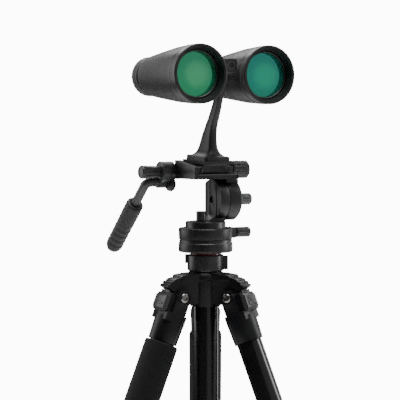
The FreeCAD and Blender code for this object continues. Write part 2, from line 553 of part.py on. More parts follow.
def make_barrel(side):
    sign = -1 if side == "left" else 1
    rim = -size("rim_y")
    drop = size("hinge_rise")
    half = size("half_spacing")
    pivot = math.hypot(half, drop)
    axis_z = size("axis_height")
    along_y = Placement(Vector(sign * half, rim, axis_z), turn_to("y"))
    place = AT_CROWN.multiply(along_y)
    # In the barrel's own frame, +Z runs back along the optical axis and the hinge lies at this point.
    hinge = Vector(-sign * half, -drop, 0)
    toward = math.degrees(math.atan2(-hinge.y, -hinge.x))

    def arm_pieces(grow, reach_in):
        pieces = []
        for low, high in LUGS[side]:
            start = low - rim
            thick = 7.0 + 2 * grow
            base = shell_radius(start + 4) - reach_in
            item = doc.addObject("Part::Box", "arm")
            item.Length = pivot - base - 2
            item.Width = thick
            item.Height = high - low + 2 * grow
            turn = Rotation(Vector(0, 0, 1), toward)
            item.Placement = Placement(hinge + turn.multVec(Vector(2, -thick / 2, start - grow)), turn)
            pieces.append(item)
        return pieces

    lugs = []
    for low, high in LUGS[side]:
        lug = doc.addObject("Part::Cylinder", "lug")
        bind(lug, Radius="lug_radius")
        lug.Height = high - low
        lug.Placement = Placement(hinge + Vector(0, 0, low - rim), Rotation())
        lugs.append(lug)
    pin_bore = doc.addObject("Part::Cylinder", "pin_bore")
    bind(pin_bore, Radius="core_radius + running")
    pin_bore.Height = 100
    pin_bore.Placement = Placement(hinge + Vector(0, 0, 10), Rotation())

    outside = turned(SHELL + [(88.35, "eyepiece_radius"), (97, "eyepiece_radius")])
    hood = turned([(0.5, 23.5), (3.6, 23.3), (3.65, 22.7), (6.5, 22.5), (6.55, 22.0), (9.4, 21.8),
                   (9.45, 21.3), (18, 21.3), (18.05, 20.6), (34, 20.2), (62, 17.6), (83, 15.4),
                   (83.05, 12.2), (98, 12.2)])
    shell = less(join(outside, *lugs, *arm_pieces(0, 1.0)), hood, pin_bore)
    node(side + "_barrel_shell", shell, place)

    inner = turned([(-1, 24.35), (12, 24.35), (34, 23.06), (62, 20.06), (90, 16.95)])
    armour = less(turned(ARMOUR), inner, *arm_pieces(0.3, 2.0))
    node(side + "_rubber_armour", armour, place)

    recess = size("lens_recess")
    lens = turned([(recess, "lens_radius - 0.4"), (recess + 0.5, "lens_radius"), (recess + 7, "lens_radius")])
    node(side + "_objective_lens", lens, place)
    node(side + "_focusing_lens", turned([(38, 13), (38.4, 14), (41.6, 14), (42, 13)]), place)
    prism = block(17, 21, 24, x=-8.5, y=-10.5, z=50)
    for corner in (-1, 1):
        wedge = prism_shape([(-9, corner * 10.6, 0), (9, corner * 10.6, 0), (9, corner * 4, 0)], 9,
                            Placement(Vector(0, 0, 66), Rotation()))
        prism = less(prism, wedge)
    node(side + "_roof_prism", prism, place)
    node(side + "_eye_lens", turned([(88, 12.1), (92.6, 12.1), (93.2, 11.4)]), place)

    cup = turned([("eyecup_start", "eyecup_radius - 0.7"), ("eyecup_start + 0.8", "eyecup_radius"),
                  ("eyecup_end - 2", "eyecup_radius"), ("eyecup_end", "eyecup_radius - 1.8")])
    cup = less(cup, rod("eyepiece_radius + running", "eyecup_end - 4.5 - eyecup_start + 1", z="eyecup_start - 1"),
               taper(12.6, 15.4, 4.2, z="eyecup_end - 4"), rod(12.6, 10, z="eyecup_end - 6"))
    node(side + "_eyecup", cup, place)
    if side == "right":
        ring = less(turned([(88.85, 17.2), (89.2, 17.5), (90.5, 17.5), (90.8, 17.2)]),
                    rod("eyepiece_radius + running", 10, z=85))
        node("dioptre_ring", ring, place)


def make_hinge():
    axis = size("axis_height") + size("hinge_rise")
    core = rod("core_radius", 48.1, y=-25.6, z=axis, axis="y")
    socket = rod(3.175, 10, y=-26, z=axis, axis="y")
    shaft_bore = rod(2.56, 60, y=-14, z=axis, axis="y")
    flange = less(rod("core_radius + 2.4", 0.4, y=-26, z=axis, axis="y"), rod(3.175, 5, y=-28, z=axis, axis="y"))
    node("hinge_core", less(join(core, flange), socket, shaft_bore), AT_CROWN)
    node("focus_shaft", rod(2.5, 52, y=-13, z=axis, axis="y"), AT_CROWN)

    wheel = turned([(0, "wheel_radius - 1"), (1, "wheel_radius"), (14.6, "wheel_radius"),
                    (15.6, "wheel_radius - 1")])
    ribs = []
    for turn in range(20):
        angle = 2 * math.pi * turn / 20
        rib = doc.addObject("Part::Cylinder", "rib")
        rib.Radius = 0.9
        rib.Height = 13
        reach = size("wheel_radius") + 0.35
        rib.Placement = Placement(Vector(reach * math.cos(angle), reach * math.sin(angle), 1.4), Rotation())
        ribs.append(rib)
    wheel = less(wheel, *ribs, rod(2.55, 40, z=-5))
    node("focus_wheel", wheel, AT_CROWN.multiply(Placement(Vector(0, 23, axis), turn_to("y"))))


# ---------------------------------------------------------------- build, check and write
def main():
    make_crown()
    make_column()
    for number, azimuth in LEG_AZIMUTHS.items():
        make_leg(number, azimuth)
    make_pan()
    make_platform()
    make_handle()
    make_adapter()
    for side in ("left", "right"):
        make_barrel(side)
    make_hinge()
    doc.recompute()

    for item in doc.Objects:
        if "Invalid" in item.State or "Error" in item.State:
            raise RuntimeError("%s (%s) failed" % (item.Name, item.Label))
    os.makedirs("parts", exist_ok=True)
    for item in sub_parts:
        shape = item.Shape
        if shape.isNull() or not shape.isValid() or not shape.Solids:
            raise RuntimeError("%s has no valid solid" % item.Label)
        print("%-24s solids %d  volume %.0f" % (item.Label, len(shape.Solids), shape.Volume))
        shape.exportStep("parts/%s.step" % item.Label)
    print(len(sub_parts), "sub-parts, crown top at", round(CROWN_Z, 2))


main()
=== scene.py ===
"""Looks for the tripod-mounted binoculars: materials for the CAD nodes and finer pieces in place of some."""
import bmesh
import bpy
import json
import math

from mathutils import Matrix, Vector


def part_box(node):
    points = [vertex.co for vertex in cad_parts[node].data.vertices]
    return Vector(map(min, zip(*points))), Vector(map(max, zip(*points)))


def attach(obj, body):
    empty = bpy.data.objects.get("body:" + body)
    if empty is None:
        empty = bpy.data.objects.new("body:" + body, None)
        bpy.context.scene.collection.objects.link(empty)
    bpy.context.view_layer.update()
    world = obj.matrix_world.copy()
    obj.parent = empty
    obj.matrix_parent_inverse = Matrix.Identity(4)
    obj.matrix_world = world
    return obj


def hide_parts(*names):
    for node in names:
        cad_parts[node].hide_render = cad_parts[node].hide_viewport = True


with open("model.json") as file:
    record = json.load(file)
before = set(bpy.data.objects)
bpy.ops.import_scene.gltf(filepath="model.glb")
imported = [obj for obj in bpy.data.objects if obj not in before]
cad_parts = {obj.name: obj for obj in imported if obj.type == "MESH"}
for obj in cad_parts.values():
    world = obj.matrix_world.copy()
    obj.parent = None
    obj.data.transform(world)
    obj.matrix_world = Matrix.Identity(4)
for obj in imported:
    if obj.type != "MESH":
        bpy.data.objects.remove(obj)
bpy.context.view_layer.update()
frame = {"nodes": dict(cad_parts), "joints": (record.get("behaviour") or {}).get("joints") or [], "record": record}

MM = 0.001
SIDES = ("left", "right")
LEGS = (1, 2, 3)


def centre(node):
    low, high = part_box(node)
    return (low + high) / 2


CROWN_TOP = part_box("column_collar")[0].z - 4.9 * MM
OPTICAL_Z = centre("left_eyecup").z
HINGE_Z = centre("focus_wheel").z
RIM_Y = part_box("left_rubber_armour")[0].y


# ------------------------------------------------------------------ materials
class Shader:
    """A Principled material with object-space coordinates and short ways to add detail."""

    def __init__(self, name, color, rough, metallic=0.0, **constants):
        self.material = bpy.data.materials.new(name)
        self.material.use_nodes = True
        self.tree = self.material.node_tree
        self.bsdf = self.tree.nodes["Principled BSDF"]
        self.color = (*color, 1.0)
        self.rough = rough
        self.bsdf.inputs["Base Color"].default_value = self.color
        self.bsdf.inputs["Roughness"].default_value = rough
        self.bsdf.inputs["Metallic"].default_value = metallic
        for socket, number in constants.items():
            self.bsdf.inputs[socket.replace("_", " ")].default_value = number
        self.coords = self.add("ShaderNodeTexCoord").outputs["Object"]
        self.last_normal = None

    def add(self, kind, **settings):
        made = self.tree.nodes.new(kind)
        for key, setting in settings.items():
            setattr(made, key, setting)
        return made

    def link(self, source, target):
        self.tree.links.new(source, target)

    def noise(self, scale, detail=3.0, stretch=None):
        texture = self.add("ShaderNodeTexNoise")
        texture.inputs["Scale"].default_value = scale
        texture.inputs["Detail"].default_value = detail
        texture.inputs["Roughness"].default_value = 0.55
        source = self.coords
        if stretch:
            mapping = self.add("ShaderNodeMapping")
            mapping.inputs["Scale"].default_value = stretch
            self.link(source, mapping.inputs["Vector"])
            source = mapping.outputs["Vector"]
        self.link(source, texture.inputs["Vector"])
        return texture.outputs["Fac"]

    def cells(self, scale):
        texture = self.add("ShaderNodeTexVoronoi")
        texture.inputs["Scale"].default_value = scale
        self.link(self.coords, texture.inputs["Vector"])
        return texture.outputs["Distance"]

    def span(self, source, low, high, start=0.3, end=0.7):
        """Map the stretch from start to end of a source onto the one from low to high."""
        mapped = self.add("ShaderNodeMapRange")
        mapped.inputs["From Min"].default_value = start
        mapped.inputs["From Max"].default_value = end
        mapped.inputs["To Min"].default_value = low
        mapped.inputs["To Max"].default_value = high
        self.link(source, mapped.inputs["Value"])
        return mapped.outputs["Result"]

    def ramp(self, source, *stops):
        """Colour a source by stops of (position, colour)."""
        colors = self.add("ShaderNodeValToRGB")
        elements = colors.color_ramp.elements
        while len(elements) < len(stops):
            elements.new(0.5)
        for element, (position, color) in zip(elements, stops):
            element.position = position
            element.color = (*color, 1.0)
        self.link(source, colors.inputs["Fac"])
        return colors.outputs["Color"]

    def tint(self, source, amount):
        """Vary the base colour either way by a fraction."""
        dark = [channel * (1 - amount) for channel in self.color[:3]]
        light = [channel * (1 + amount) for channel in self.color[:3]]
        self.link(self.ramp(source, (0.35, dark), (0.65, light)), self.bsdf.inputs["Base Color"])
        return self

    def uneven(self, source, spread):
        """Vary the roughness either way."""
        low = max(0.02, self.rough - spread)
        self.link(self.span(source, low, self.rough + spread), self.bsdf.inputs["Roughness"])
        return self

    def bump(self, source, depth, strength):
        """Add a bump of this depth in metres on top of the last one."""
        bumped = self.add("ShaderNodeBump")
        bumped.inputs["Strength"].default_value = strength
        bumped.inputs["Distance"].default_value = depth
        self.link(source, bumped.inputs["Height"])
        if self.last_normal:
            self.link(self.last_normal, bumped.inputs["Normal"])
        self.last_normal = bumped.outputs["Normal"]
        self.link(self.last_normal, self.bsdf.inputs["Normal"])
        return self


def powder_coat(name, color, rough):
    """Textured paint on a casting: fine orange peel, patches rubbed smoother."""
    shader = Shader(name, color, rough, Coat_Weight=0.05, Coat_Roughness=0.35, Specular_IOR_Level=0.36)
    shader.tint(shader.noise(45), 0.3).uneven(shader.noise(70, 5), 0.07)
    shader.bump(shader.noise(2600, 2), 0.00006, 0.45).bump(shader.noise(160, 2), 0.0001, 0.12)
    return shader.material


def anodised(name, color, rough, gloss=0.15):
    """Turned and anodised metal: a soft sheen, faint cutter lines, handling marks."""
    shader = Shader(name, color, rough, Coat_Weight=gloss, Coat_Roughness=0.2, Specular_IOR_Level=0.6)
    shader.tint(shader.noise(60), 0.25).uneven(shader.noise(120, 6), 0.06)
    shader.bump(shader.noise(900, 2, stretch=(1, 1, 9)), 0.00003, 0.25)
    return shader.material


def gloss_tube(name, color, rough):
    """Drawn tube with a glossy black finish, with faint lengthwise draw marks and wiped dust."""
    shader = Shader(name, color, rough, Coat_Weight=0.5, Coat_Roughness=0.08)
    shader.uneven(shader.noise(35, 6, stretch=(1, 1, 0.15)), 0.03)
    shader.tint(shader.noise(25), 0.4)
    shader.bump(shader.noise(1200, 2, stretch=(1, 1, 0.02)), 0.00001, 0.08)
    return shader.material


def rubber(name, color, rough, grain=1500, depth=0.00012, strength=0.5):
    """Moulded rubber: a fine stipple, faint blotches and dust in the low spots."""
    shader = Shader(name, color, rough, Sheen_Weight=0.12, Sheen_Roughness=0.5)
    shader.tint(shader.noise(40, 5), 0.22).uneven(shader.noise(90, 5), 0.035)
    shader.bump(shader.cells(grain), depth, strength).bump(shader.noise(220, 3), 0.00005, 0.08)
    return shader.material


def foam(name, color):
    """Closed-cell foam: matte, with visible small cells and a soft sheen."""
    shader = Shader(name, color, 0.9, Sheen_Weight=0.05, Sheen_Roughness=0.6, Specular_IOR_Level=0.25)
    shader.tint(shader.noise(300, 5), 0.35)
    shader.bump(shader.cells(1100), 0.0003, 0.55).bump(shader.noise(120, 4), 0.0005, 0.25)
    return shader.material


def moulded(name, color, rough):
    """Moulded plastic: spark-eroded texture, worn a little smoother in patches."""
    shader = Shader(name, color, rough, Specular_IOR_Level=0.5)
    shader.tint(shader.noise(80, 4), 0.25).uneven(shader.noise(150, 5), 0.09)
    shader.bump(shader.noise(3200, 2), 0.00005, 0.4)
    return shader.material


def bright_metal(name, color, rough):
    """Bare metal with turned lines and small scratches."""
    shader = Shader(name, color, rough, metallic=1.0)
    shader.tint(shader.noise(200, 4), 0.12).uneven(shader.noise(400, 6), 0.1)
    shader.bump(shader.noise(2500, 2, stretch=(1, 6, 1)), 0.00002, 0.3)
    return shader.material


def clear_glass(name):
    shader = Shader(name, (0.75, 0.85, 0.83), 0.03, Transmission_Weight=0.9, IOR=1.52)
    shader.uneven(shader.noise(300, 4), 0.015)
    return shader.material


def coated_glass(name, middle, painted_inner_reflection, body, edge):
    """An objective lens: coloured reflection, with painted reflection as a brighter inner disc, painted shade at
    the edge, and a painted reflection tint, teal above and green below.
    """
    coated_radius = 21.3 * MM
    half_height = 21 * MM
    shader = Shader(name, body, 0.07, metallic=0.75, Coat_Weight=1.0, Coat_Roughness=0.03)
    mapping = shader.add("ShaderNodeMapping")
    mapping.inputs["Location"].default_value = (-middle.x, 0, -middle.z)
    mapping.inputs["Scale"].default_value = (1, 0, 1)
    shader.link(shader.coords, mapping.inputs["Vector"])
    length = shader.add("ShaderNodeVectorMath", operation="LENGTH")
    shader.link(mapping.outputs["Vector"], length.inputs[0])
    radial = shader.span(length.outputs["Value"], 0, 1, 0, coated_radius)
    # painted reflection makes the inner disc brighter, and painted shade darkens the edge near the rim
    rings = shader.ramp(radial, (0.0, painted_inner_reflection), (0.4, painted_inner_reflection), (0.66, body), (0.9, body), (0.99, edge))
    split = shader.add("ShaderNodeSeparateXYZ")
    shader.link(mapping.outputs["Vector"], split.inputs["Vector"])
    height = shader.span(split.outputs["Z"], 0, 1, -half_height, half_height)
    mix = shader.add("ShaderNodeMix", data_type="RGBA", blend_type="MULTIPLY")
    mix.inputs["Factor"].default_value = 0.55
    # Of the mix node's sockets, inputs 6 and 7 are the two colours and output 2 is the mixed one.
    shader.link(rings, mix.inputs[6])
    # painted reflection tint: teal above and green below
    painted_reflection_tint = shader.ramp(height, (0.0, (0.55, 1.0, 0.75)), (0.55, (0.8, 1.0, 0.9)), (1.0, (0.55, 0.95, 1.0)))
    shader.link(painted_reflection_tint, mix.inputs[7])
    shader.link(mix.outputs[2], shader.bsdf.inputs["Base Color"])
    shader.uneven(shader.noise(120, 4), 0.02)
    return shader.material


MATERIALS = {
    "cast_black": powder_coat("cast_black", (0.004, 0.004, 0.005), 0.36),
    "head_black": anodised("head_black", (0.005, 0.0055, 0.006), 0.38, 0.05),
    "gloss_tube": gloss_tube("gloss_tube", (0.0035, 0.0035, 0.004), 0.2),
    "inner_tube": anodised("inner_tube", (0.008, 0.008, 0.009), 0.3),
    "red_anodised": anodised("red_anodised", (0.2, 0.012, 0.01), 0.4),
    "bolt_steel": bright_metal("bolt_steel", (0.3, 0.29, 0.28), 0.24),
    "knurled_grey": bright_metal("knurled_grey", (0.11, 0.113, 0.113), 0.4),
    "knob_black": moulded("knob_black", (0.032, 0.032, 0.033), 0.28),
    "rod_grey": anodised("rod_grey", (0.04, 0.041, 0.042), 0.42),
    "grip_rubber": rubber("grip_rubber", (0.0065, 0.007, 0.0075), 0.6),
    "pad_rubber": rubber("pad_rubber", (0.01, 0.01, 0.01), 0.8),
    "adapter_black": powder_coat("adapter_black", (0.02, 0.02, 0.021), 0.42),
    "barrel_metal": anodised("barrel_metal", (0.003, 0.003, 0.0035), 0.45, 0.0),
    "armour_rubber": rubber("armour_rubber", (0.008, 0.008, 0.0085), 0.31, 1900, 0.00005, 0.2),
    "eyecup_rubber": rubber("eyecup_rubber", (0.01, 0.01, 0.011), 0.5),
    "plain_glass": clear_glass("plain_glass"),
    "foam": foam("foam", (0.0024, 0.0024, 0.003)),
    "lock_rubber": rubber("lock_rubber", (0.011, 0.011, 0.011), 0.55),
    "foot_rubber": rubber("foot_rubber", (0.01, 0.01, 0.01), 0.7),
    "coated_glass": clear_glass("coated_glass_edge"),
}


def dress_cad_nodes():
    for entry in frame["record"]["subparts"]:
        item = frame["nodes"][entry["node"]]
        item.data.materials.clear()
        item.data.materials.append(MATERIALS[entry["material_slot"]])


# ------------------------------------------------------------------ mesh helpers
SHARP_DEGREES = 38
FLAT_DEGREES = 3
BEVELLED_DEGREES = 32
# a sunk face has a normal with its y below the first of these, and more square metres than the second
TO_THE_FRONT = -0.99
LARGE_FACE = 8e-5


def joint(name):
    return next(entry for entry in frame["joints"] if entry["name"] == name)


def along(base, direction):
    """The matrix that takes +Z to the direction and the origin to the base."""
    return Matrix.Translation(base) @ Vector(direction).to_track_quat("Z", "Y").to_matrix().to_4x4()


def rounded(profile, radius, steps=4):
    """A profile in millimetres with each inner corner turned into a small arc."""
    points = [profile[0]]
    for before, corner, after in zip(profile, profile[1:], profile[2:]):
        corner, before, after = Vector(corner), Vector(before), Vector(after)
        reach = min(radius, (before - corner).length * 0.45, (after - corner).length * 0.45)
        start = corner + (before - corner).normalized() * reach
        end = corner + (after - corner).normalized() * reach
        for step in range(steps + 1):
            t = step / steps
            points.append(tuple(start * (1 - t) ** 2 + corner * 2 * t * (1 - t) + end * t ** 2))
    points.append(profile[-1])
    return points


def make_piece(name, grid, material, body, nodes=()):
    """Turn a bmesh into a smooth-shaded piece that rides on a body and stands for CAD nodes."""
    bmesh.ops.remove_doubles(grid, verts=grid.verts, dist=1e-7)
    bmesh.ops.recalc_face_normals(grid, faces=grid.faces)
    for edge in grid.edges:
        if len(edge.link_faces) == 2:
            edge.smooth = edge.calc_face_angle(0.0) < math.radians(SHARP_DEGREES)
    for face in grid.faces:
        face.smooth = True
    mesh = bpy.data.meshes.new(name)
    grid.to_mesh(mesh)
    grid.free()
    item = bpy.data.objects.new(name, mesh)
    mesh.materials.append(material)
    bpy.context.collection.objects.link(item)
    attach(item, body)
    if nodes:
        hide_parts(*nodes)
    return item


def lathe_into(grid, profile, matrix, segments, closed=False, wave=None):
    """Spin a profile of (distance, radius) millimetres about the matrix's Z axis.

    A wave gives the millimetres to add to the radius, from the angle and the distance.
    """
    rings = []
    for distance, radius in profile:
        ring = []
        count = 1 if radius < 1e-6 else segments
        for turn in range(count):
            angle = 2 * math.pi * turn / segments
            reach = radius + (wave(angle, distance) if wave and radius else 0)
            spot = Vector((reach * math.cos(angle), reach * math.sin(angle), distance)) * MM
            ring.append(grid.verts.new(matrix @ spot))
        rings.append(ring)
    pairs = list(zip(rings, rings[1:]))
    if closed:
        pairs.append((rings[-1], rings[0]))
    for first, second in pairs:
        for turn in range(segments):
            after = (turn + 1) % segments
            if len(first) == 1 and len(second) == 1:
                continue
            if len(first) == 1:
                corners = (first[0], second[turn], second[after])
            elif len(second) == 1:
                corners = (first[turn], first[after], second[0])
            else:
                corners = (first[turn], first[after], second[after], second[turn])
            grid.faces.new(corners)


def lathe(name, profile, base, direction, slot, body, nodes=(), segments=96, closed=False, wave=None,
          material=None):
    """A piece turned about the direction, starting at the base."""
    grid = bmesh.new()
    lathe_into(grid, profile, along(base, direction), segments, closed, wave)
    return make_piece(name, grid, material or MATERIALS[slot], body, nodes)


def body_with(node):
    bodies = frame["record"]["behaviour"]["bodies"]
    return next(name for name, nodes in bodies.items() if node in nodes)


def softened(node, width, panel=None):
    """A copy of a CAD node whose sharp edges are rounded off, which stands for that node.

    A panel is (rim, depth) in millimetres: large flat faces to the front are sunk by the depth inside a rim.
    """
    source = frame["nodes"][node]
    grid = bmesh.new()
    grid.from_mesh(source.data)
    grid.transform(source.matrix_world)
    bmesh.ops.remove_doubles(grid, verts=grid.verts, dist=2e-6)
    bmesh.ops.dissolve_limit(grid, angle_limit=math.radians(FLAT_DEGREES), verts=grid.verts, edges=grid.edges)
    bmesh.ops.recalc_face_normals(grid, faces=grid.faces)
    if panel:
        rim, depth = panel
        flats = [face for face in grid.faces
                 if face.normal.y < TO_THE_FRONT and face.calc_area() > LARGE_FACE]
        bmesh.ops.inset_individual(grid, faces=flats, thickness=rim * MM, depth=-depth * MM,
                                   use_even_offset=True)
    edges = [edge for edge in grid.edges
             if len(edge.link_faces) == 2 and edge.calc_face_angle(0.0) > math.radians(BEVELLED_DEGREES)]
    bmesh.ops.bevel(grid, geom=edges, offset=width * MM, segments=2, profile=0.6, affect="EDGES",
                    clamp_overlap=True)
    slot = next(entry["material_slot"] for entry in frame["record"]["subparts"] if entry["node"] == node)
    return make_piece(node + "_finished", grid, MATERIALS[slot], body_with(node), (node,))


# ------------------------------------------------------------------ binoculars
# profiles as distance behind the rim and radius, in millimetres
ARMOUR_OUTER = [(0.0, 24.5), (0.0, 26.0), (0.5, 26.5), (7.6, 26.5), (8.3, 26.1), (9.6, 26.1), (10.3, 26.4),
                (14.0, 26.3), (34.0, 25.1), (62.0, 22.1), (84.0, 19.5), (88.4, 18.6), (88.4, 17.1)]
ARMOUR_INNER = [(62.0, 20.2), (34.0, 23.2), (12.0, 24.5)]
EYECUP = [(91.0, 15.4), (91.0, 17.6), (91.8, 18.3), (94.6, 18.3), (95.0, 18.0), (95.6, 18.0), (96.0, 18.3),
          (101.6, 18.3), (104.0, 16.4), (104.0, 15.2), (100.6, 12.8), (98.6, 12.7), (98.6, 15.4)]
RETAINER = [(8.3, 20.2), (7.9, 20.7), (7.9, 21.6), (9.3, 21.6), (9.3, 20.2)]
LENS_RADIUS = 21.1
LENS_STEPS = 14
# distance of the lens's middle behind the rim, and how much farther its edge is
LENS_MIDDLE = 7.4
LENS_DISH = 2.1
LENS_REAR = [(16.4, LENS_RADIUS), (15.8, LENS_RADIUS * 0.5), (15.6, 0.0)]
# inner disc, body and edge colours of each coating: painted reflection in the brighter inner disc, painted shade
# in the darker edge
COATING_PAINTED_LIGHT = {
    "left": ((0.10, 0.68, 0.33), (0.04, 0.56, 0.27), (0.02, 0.2, 0.11)),
    "right": ((0.03, 0.60, 0.38), (0.008, 0.47, 0.36), (0.01, 0.18, 0.16)),
}


def dress_barrel(side):
    base = Vector((centre(side + "_eyecup").x, RIM_Y, OPTICAL_Z))
    back = Vector((0, 1, 0))
    barrel = side + "_barrel"
    lathe(side + "_armour_skin", rounded(ARMOUR_OUTER, 0.5) + ARMOUR_INNER, base, back, "armour_rubber",
          barrel, (side + "_rubber_armour",), segments=128, closed=True)
    front = [(LENS_MIDDLE + LENS_DISH * (step / LENS_STEPS) ** 2, LENS_RADIUS * step / LENS_STEPS)
             for step in range(LENS_STEPS + 1)]
    # the lens colours carry painted reflection and painted shade
    glass = coated_glass(side + "_coating", base, *COATING_PAINTED_LIGHT[side])
    lathe(side + "_front_element", front + LENS_REAR, base, back, "coated_glass", barrel,
          (side + "_objective_lens",), material=glass)
    lathe(side + "_lens_retainer", rounded(RETAINER, 0.15, 2), base, back, "barrel_metal", barrel,
          closed=True)
    lathe(side + "_eyecup_skin", rounded(EYECUP, 0.4, 3), base, back, "eyecup_rubber", side + "_cup",
          (side + "_eyecup",), closed=True)


# ------------------------------------------------------------------ adapter
# height above the foot, front and back y, thickness, and rise to the back, in millimetres
STEM = [(0.0, -24.0, 14.6, 26.4, 1.0), (3.8, -24.0, 14.6, 26.4, 1.0), (4.3, -23.5, 14.1, 25.4, 1.0),
        (4.7, -21.4, 12.8, 21.6, 0.9), (6.4, -19.3, 11.4, 16.6, 0.5), (9.0, -17.5, 9.4, 12.4, 0.2),
        (13.0, -16.3, 7.0, 9.8, 0.0), (18.0, -15.7, 4.6, 8.6, 0.0), (25.0, -15.9, 1.0, 7.9, 0.0),
        (33.0, -18.0, -4.2, 7.0, 0.0), (43.0, -23.2, -11.0, 6.3, 0.0), (57.0, -29.4, -18.4, 5.2, 0.0),
        (68.0, -33.8, -22.4, 4.4, 0.0), (79.0, -38.4, -27.0, 4.4, 0.0)]
FOOT_RISE = 0.055
FOOT_FRONT = STEM[0][1]
# corner radii as a share of the narrow side: the foot's first rings are squarer than the stem's
FOOT_RINGS = 3
FOOT_CORNER = 0.12
STEM_CORNER = 0.3
# depth behind the front face, and how far in from the full outline, in millimetres
HEAD_RINGS = ((0.0, 0.9), (0.35, 0.25), (0.9, 0.0), (19.0, 0.0), (19.8, 0.5))
HEAD_HALF_WIDTH = 6
HEAD_HALF_HEIGHT = 6.5
HEAD_CORNER = 1.6
COUNTERBORE_RADIUS = 4.9
COUNTERBORE_DEPTH = 3
CORNER_STEPS = 5


def rounded_rectangle(half_width, half_height, bend):
    """Points once around a rectangle with round corners, CORNER_STEPS to a corner."""
    for quarter, (across, up) in enumerate(((1, -1), (1, 1), (-1, 1), (-1, -1))):
        for step in range(CORNER_STEPS):
            angle = math.radians(90 * (quarter - 1) + 90 * step / (CORNER_STEPS - 1))
            yield (across * (half_width - bend) + bend * math.cos(angle),
                   up * (half_height - bend) + bend * math.sin(angle))


def section(grid, low, corner, height, front, back, thick, rise):
    """One ring of the stem, higher at the back where the foot slopes."""
    half_x = thick / 2
    half_y = (back - front) / 2
    middle = (back + front) / 2
    bend = min(half_x, half_y) * 2 * corner
    ring = []
    for x, offset in rounded_rectangle(half_x, half_y, bend):
        y = middle + offset
        z = low + height + rise * FOOT_RISE * (y - FOOT_FRONT)
        ring.append(grid.verts.new(Vector((x, y, z)) * MM))
    return ring


def smooth_stations(stations, steps=4):
    """Catmull-Rom points through the stations, so that the stem flares without corners."""
    made = []
    for index in range(len(stations) - 1):
        around = [stations[min(max(index + offset, 0), len(stations) - 1)] for offset in (-1, 0, 1, 2)]
        for step in range(steps):
            t = step / steps
            made.append(tuple(
                0.5 * (2 * p1 + (p2 - p0) * t + (2 * p0 - 5 * p1 + 4 * p2 - p3) * t ** 2
                       + (3 * p1 - p0 - 3 * p2 + p3) * t ** 3)
                for p0, p1, p2, p3 in zip(*around)))
    return made + [stations[-1]]


def bridge_rings(grid, rings):
    """Join each ring of vertices to the next one, which has as many."""
    for first, second in zip(rings, rings[1:]):
        for turn in range(len(first)):
            after = (turn + 1) % len(first)
            grid.faces.new((first[turn], first[after], second[after], second[turn]))


def dress_stem():
    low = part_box("adapter_bracket")[0].z / MM
    grid = bmesh.new()
    rings = []
    for index, station in enumerate(STEM[:2] + smooth_stations(STEM[2:])):
        corner = FOOT_CORNER if index < FOOT_RINGS else STEM_CORNER
        rings.append(section(grid, low, corner, *station))
    bridge_rings(grid, rings)
    grid.faces.new(rings[0][::-1])
    grid.faces.new(rings[-1])
    make_piece("adapter_stem", grid, MATERIALS["adapter_black"], "adapter",
               ("adapter_bracket",))


def dress_head():
    """The head of the bracket, with its counterbore for the screw."""
    base = Vector((0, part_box("adapter_bracket")[0].y, HINGE_Z))
    grid = bmesh.new()
    outline = []
    for depth, inset in HEAD_RINGS:
        corners = rounded_rectangle(HEAD_HALF_WIDTH - inset, HEAD_HALF_HEIGHT - inset, HEAD_CORNER)
        outline.append([grid.verts.new(base + Vector((x, depth, z)) * MM) for x, z in corners])
    hole = []
    around = len(outline[0])
    for turn in range(around):
        angle = math.radians(-90 + 360 / around * turn)
        spot = Vector((math.cos(angle), 0, math.sin(angle))) * COUNTERBORE_RADIUS
        hole.append(grid.verts.new(base + spot * MM))
    bottom = [grid.verts.new(vert.co + Vector((0, COUNTERBORE_DEPTH * MM, 0))) for vert in hole]
    bridge_rings(grid, [bottom, hole] + outline)
    grid.faces.new(bottom)
    grid.faces.new(outline[-1])
    make_piece("adapter_head", grid, MATERIALS["adapter_black"], "adapter")


# ------------------------------------------------------------------ handle grip
GRIP_SLOPE = math.radians(42)
GRIP_START_RADIUS = 7.4 * MM
GRIP_GROOVES = (28, 35.5, 43, 50.5)


def dress_grip():
    low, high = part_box("handle_grip")
    direction = Vector((0, math.cos(GRIP_SLOPE), -math.sin(GRIP_SLOPE)))
    base = Vector(((low.x + high.x) / 2, low.y + GRIP_START_RADIUS * math.sin(GRIP_SLOPE),
                   high.z - GRIP_START_RADIUS * math.cos(GRIP_SLOPE)))
    profile = [(1.2, 4.5), (0.0, 5.0), (0.0, 7.0), (1.6, 8.2), (14.0, 8.3), (24.0, 8.15)]
    for start in GRIP_GROOVES:
        profile += [(start, 8.2), (start + 2.0, 8.25), (start + 3.4, 7.8), (start + 5.6, 7.8)]
    profile += [(58.0, 8.2), (62.5, 7.9), (66.5, 6.4), (69.0, 3.9), (69.8, 1.8), (70.0, 0.0)]
    lathe("grip_skin", rounded(profile, 1.2, 4), base, direction, "grip_rubber", "handle", ("handle_grip",))


# ------------------------------------------------------------------ legs
SOCKET_RADIUS = 2.0
SOCKET_FLOOR = 0.3
BOLT_FACE = 1.6
BOLT_REACH = 13.2
# profiles as distance and radius in millimetres: a bolt's head from its seat, a leg's pieces from the hinge
BOLT_HEAD = [(0.0, 4.3), (0.5, 4.35), (1.0, 4.1), (1.4, 3.5), (1.58, 2.8), (BOLT_FACE, SOCKET_RADIUS),
             (SOCKET_FLOOR, 1.95), (SOCKET_FLOOR, 0.0)]
TUBE = [(35.5, 10.2), (35.5, 11.5), (469.6, 11.5), (469.6, 10.2)]
SLEEVE = [(44.4, 11.6), (44.0, 12.4), (44.2, 14.6), (45.4, 15.4), (50.0, 15.5), (168.0, 15.5),
          (172.6, 15.4), (173.8, 14.6), (174.0, 12.4), (173.6, 11.6)]
LOCK = [(452.0, 11.7), (452.0, 13.0), (453.2, 13.9), (456.5, 14.1), (457.5, 14.1), (480.5, 14.1),
        (481.5, 14.1), (485.0, 13.9), (487.6, 12.2), (487.9, 10.1)]
SLEEVED_LEGS = (1, 2)
RIB_COUNT = 24
RIB_HEIGHT = 0.32
RIB_START = 457
RIB_END = 481


